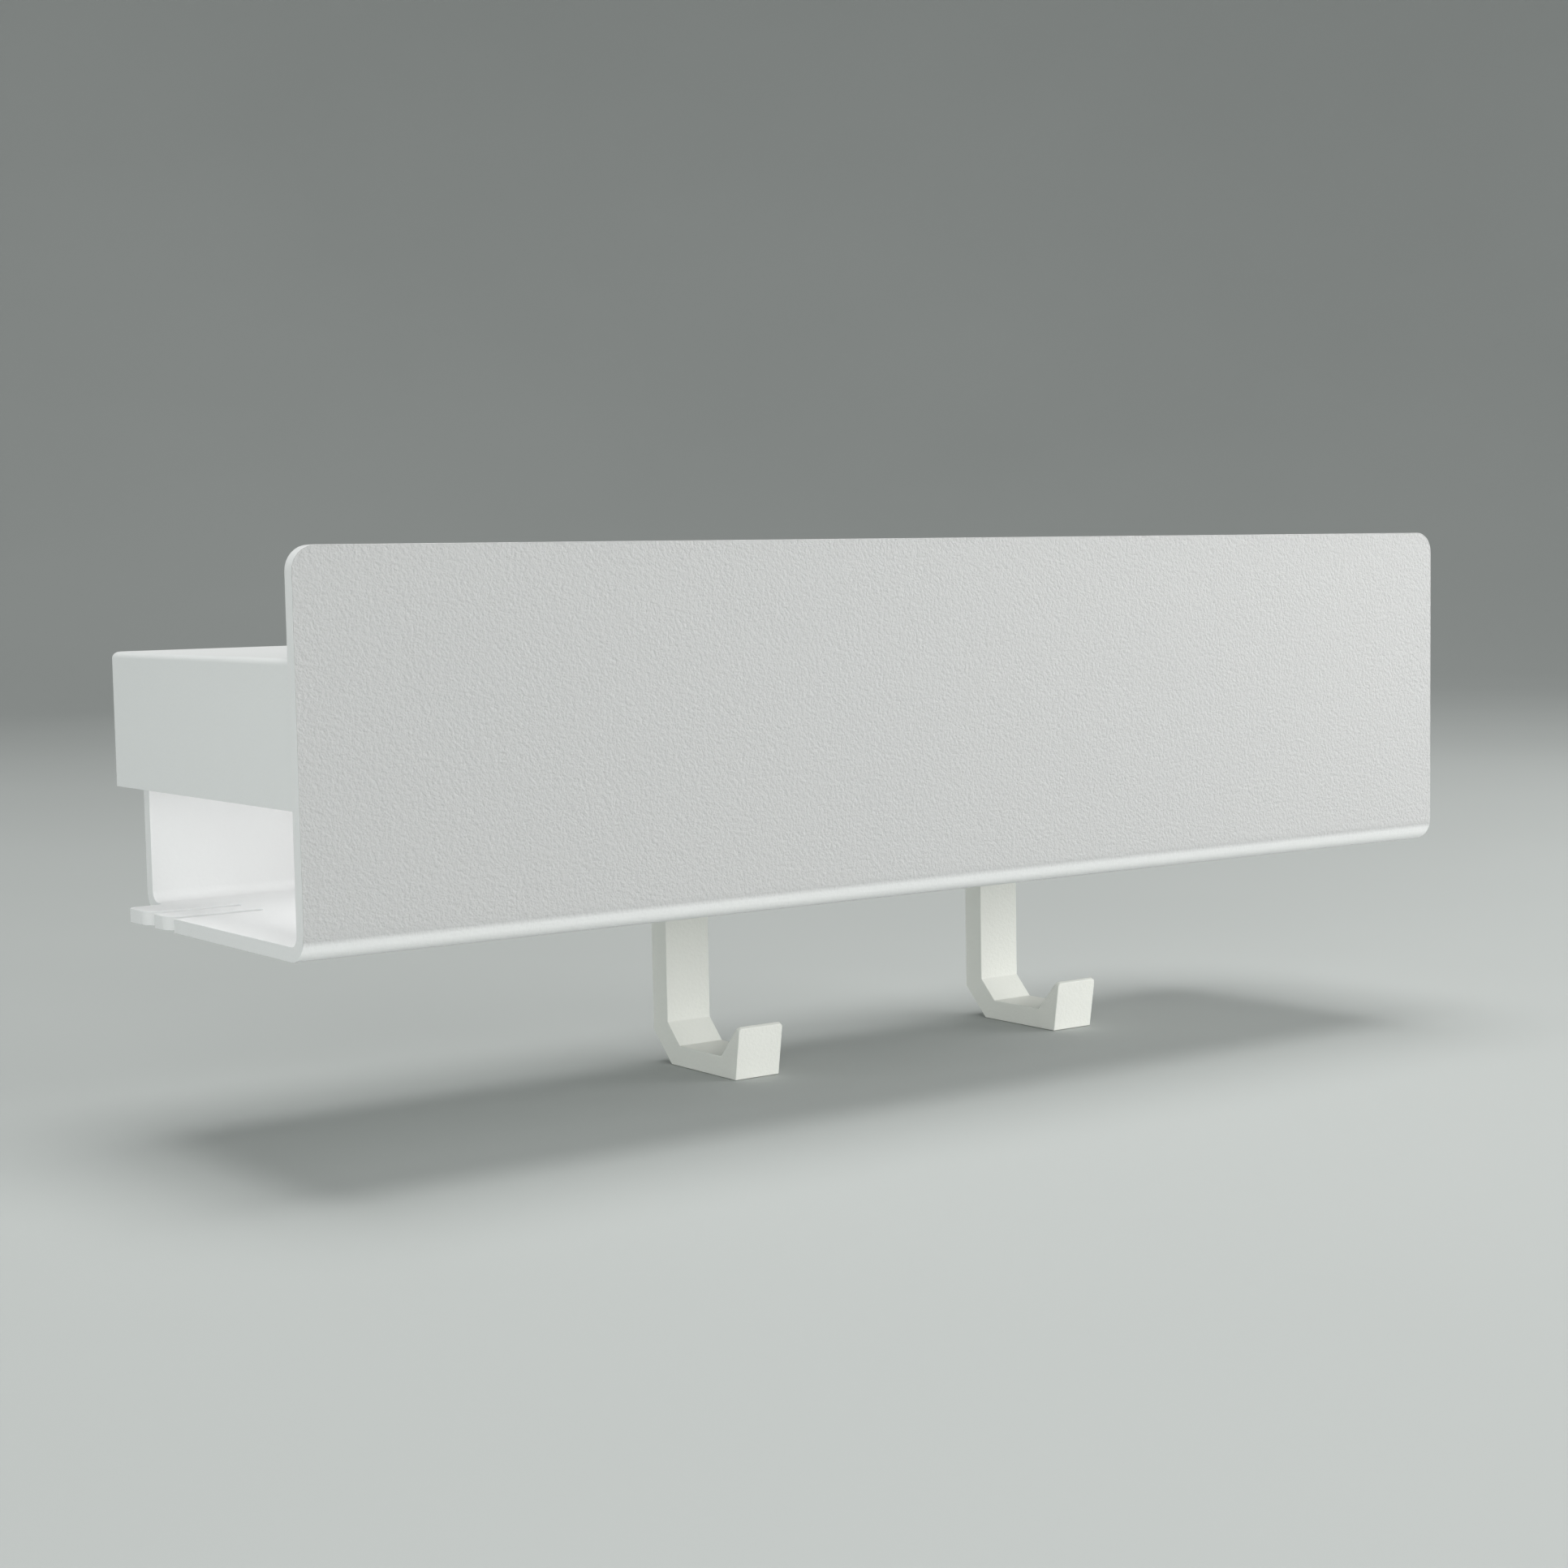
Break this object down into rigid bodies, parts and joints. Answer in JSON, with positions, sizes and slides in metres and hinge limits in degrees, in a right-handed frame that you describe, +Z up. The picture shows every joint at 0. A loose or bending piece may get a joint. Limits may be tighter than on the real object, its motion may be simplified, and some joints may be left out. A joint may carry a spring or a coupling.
{
  "type": "wall hook rack",
  "caption": "White folded steel wall rack with a tall front panel, a lift-off cover shelf over a cable channel, and J hooks below.",
  "frame": {"origin": "on the rear face of the back plate, where the rack sits against the wall: centred across its width and 30 mm above the underside of the floor", "axes": "+X along the wall to the viewer's right, +Y into the wall, +Z up; the front panel faces -Y"},
  "size_m": [0.322, 0.096, 0.1286],
  "materials": {
    "powder_coat": "matt white powder coat with a fine orange-peel texture",
    "zinc_steel": "bright zinc-plated steel",
    "silicone": "matt grey silicone"
  },
  "bodies": {
    "rack": {"channel_body": "powder_coat", "hook_left": "powder_coat", "hook_right": "powder_coat", "hook_left_screw_lower": "zinc_steel", "hook_left_screw_upper": "zinc_steel", "hook_right_screw_lower": "zinc_steel", "hook_right_screw_upper": "zinc_steel", "rest_bracket_front_left": "powder_coat", "rest_bracket_front_right": "powder_coat", "rest_bracket_rear_left": "powder_coat", "rest_bracket_rear_right": "powder_coat", "rest_pad_front_left": "silicone", "rest_pad_front_right": "silicone", "rest_pad_rear_left": "silicone", "rest_pad_rear_right": "silicone"},
    "cover": {"cover_shelf": "powder_coat"}
  },
  "joints": [
    {"name": "cover_lift", "type": "slide", "parent": "rack", "child": "cover", "axis": [0, 0, 1], "range_m": [0, 0.06]}
  ]
}
